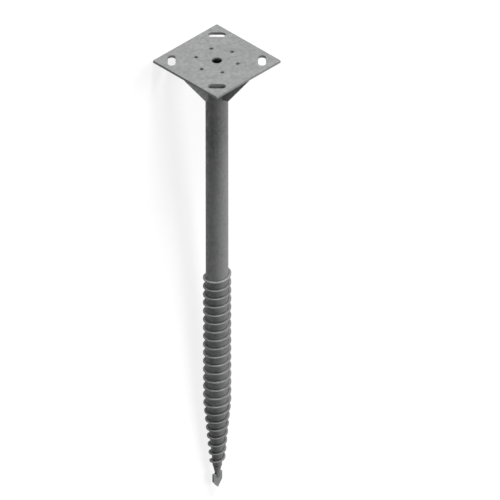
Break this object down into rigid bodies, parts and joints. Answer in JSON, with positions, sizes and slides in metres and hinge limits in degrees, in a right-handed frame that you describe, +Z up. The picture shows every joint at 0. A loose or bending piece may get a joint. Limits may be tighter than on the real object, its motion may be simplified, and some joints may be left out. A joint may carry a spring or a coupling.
{
  "type": "screw earth anchor",
  "caption": "Galvanised steel ground screw: a tube with a wound thread, a tapered point and a square slotted flange braced by gussets.",
  "frame": {"origin": "middle of the object's box, on the floor it lies on", "axes": "+Z up; the screw lies along X, resting on one edge of its flange and on its thread; the flange is at the -X end and the blade's tip at the +X end; two flange sides face +Y and -Y"},
  "size_m": [1.7506, 0.3, 0.2998],
  "materials": {
    "galvanised_steel": "hot-dip galvanised, satin, with a fine spangle"
  },
  "bodies": {
    "root": {"flange_plate": "galvanised_steel", "gusset_1": "galvanised_steel", "gusset_2": "galvanised_steel", "gusset_3": "galvanised_steel", "gusset_4": "galvanised_steel", "point_blade": "galvanised_steel", "point_cone": "galvanised_steel", "shaft_tube": "galvanised_steel", "thread_strip": "galvanised_steel"}
  },
  "joints": []
}
